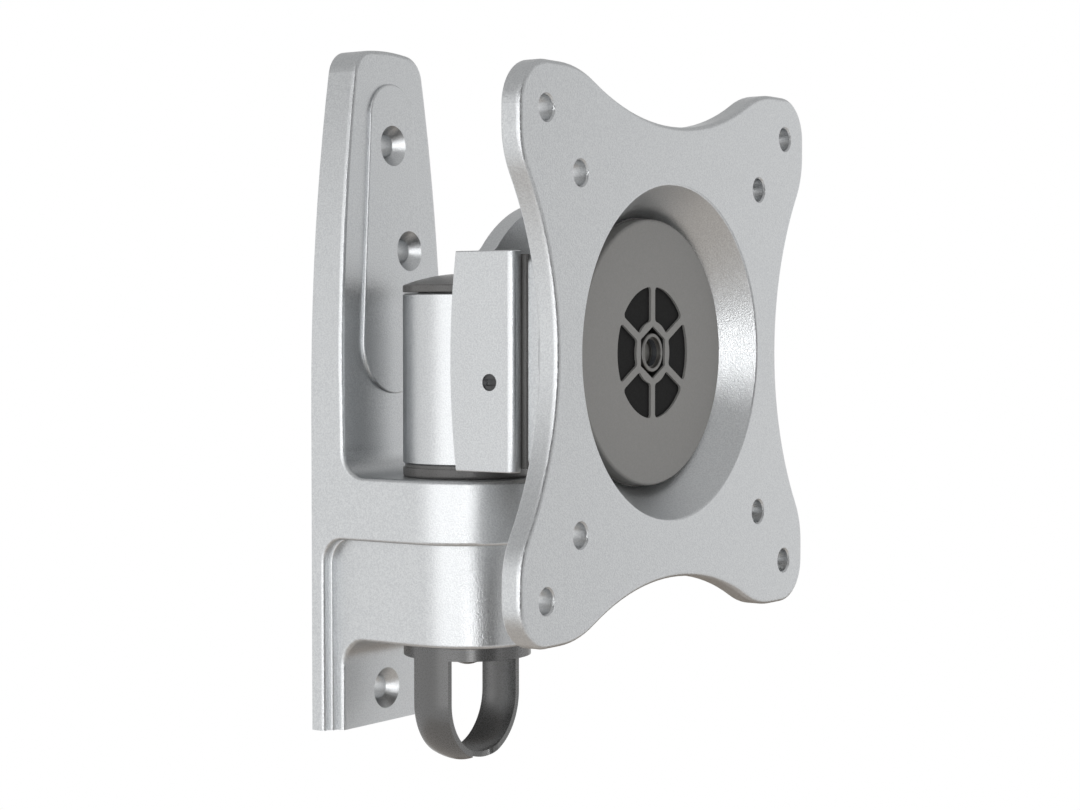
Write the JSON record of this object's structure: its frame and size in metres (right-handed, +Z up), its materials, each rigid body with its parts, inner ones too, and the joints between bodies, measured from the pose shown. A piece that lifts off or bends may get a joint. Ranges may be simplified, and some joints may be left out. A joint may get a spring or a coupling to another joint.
{
  "type": "swivel tv wall mount",
  "caption": "Swivel and tilt wall mount for a small flat screen: wall bracket, turning column with tilting yoke, waisted screen plate and cable clip.",
  "frame": {"origin": "on the wall face of the bracket, on its centre line, level with the middle of the screen plate", "axes": "+X right seen from the front, +Y into the wall, +Z up; the screen plate faces -Y"},
  "size_m": [0.1188, 0.0876, 0.167],
  "materials": {
    "silver_paint": "satin",
    "dark_plastic": "matte",
    "hub_plastic": "matte",
    "black_plastic": "matte",
    "pale_plastic": "matte",
    "nut_nylon": "satin",
    "zinc_steel": "satin",
    "black_steel": "satin",
    "spring_steel": "satin"
  },
  "bodies": {
    "bracket": {"wall_bracket": "silver_paint", "cable_clip": "dark_plastic", "bearing_disc": "dark_plastic", "lower_bush": "pale_plastic", "lower_washer": "zinc_steel", "upper_spring": "spring_steel", "lower_spring": "spring_steel", "swivel_nut": "zinc_steel", "swivel_bolt": "black_steel", "thrust_washer": "zinc_steel"},
    "head": {"swivel_head": "silver_paint", "top_cap": "dark_plastic", "upper_bush": "pale_plastic", "pivot_screw_left": "black_steel", "pivot_screw_right": "black_steel"},
    "rocker": {"tilt_rocker": "silver_paint", "pivot_bush_left": "pale_plastic", "pivot_bush_right": "pale_plastic", "tilt_washer_left": "pale_plastic", "tilt_washer_right": "pale_plastic", "centre_bolt": "zinc_steel", "centre_nut": "black_steel", "nut_insert": "nut_nylon", "hub_disc": "hub_plastic", "friction_ring": "black_plastic"},
    "plate": {"screen_plate": "silver_paint"}
  },
  "joints": [
    {"name": "swivel", "type": "hinge", "parent": "bracket", "child": "head", "pos_m": [0, -0.0308, 0], "axis": [0, 0, 1], "range_deg": [-45, 45]},
    {"name": "tilt", "type": "hinge", "parent": "head", "child": "rocker", "pos_m": [0, -0.0617, -0.0062], "axis": [1, 0, 0], "range_deg": [-5, 15]},
    {"name": "rotate", "type": "hinge", "parent": "rocker", "child": "plate", "pos_m": [0, -0.0786, 0], "axis": [0, 1, 0], "continuous": true}
  ]
}
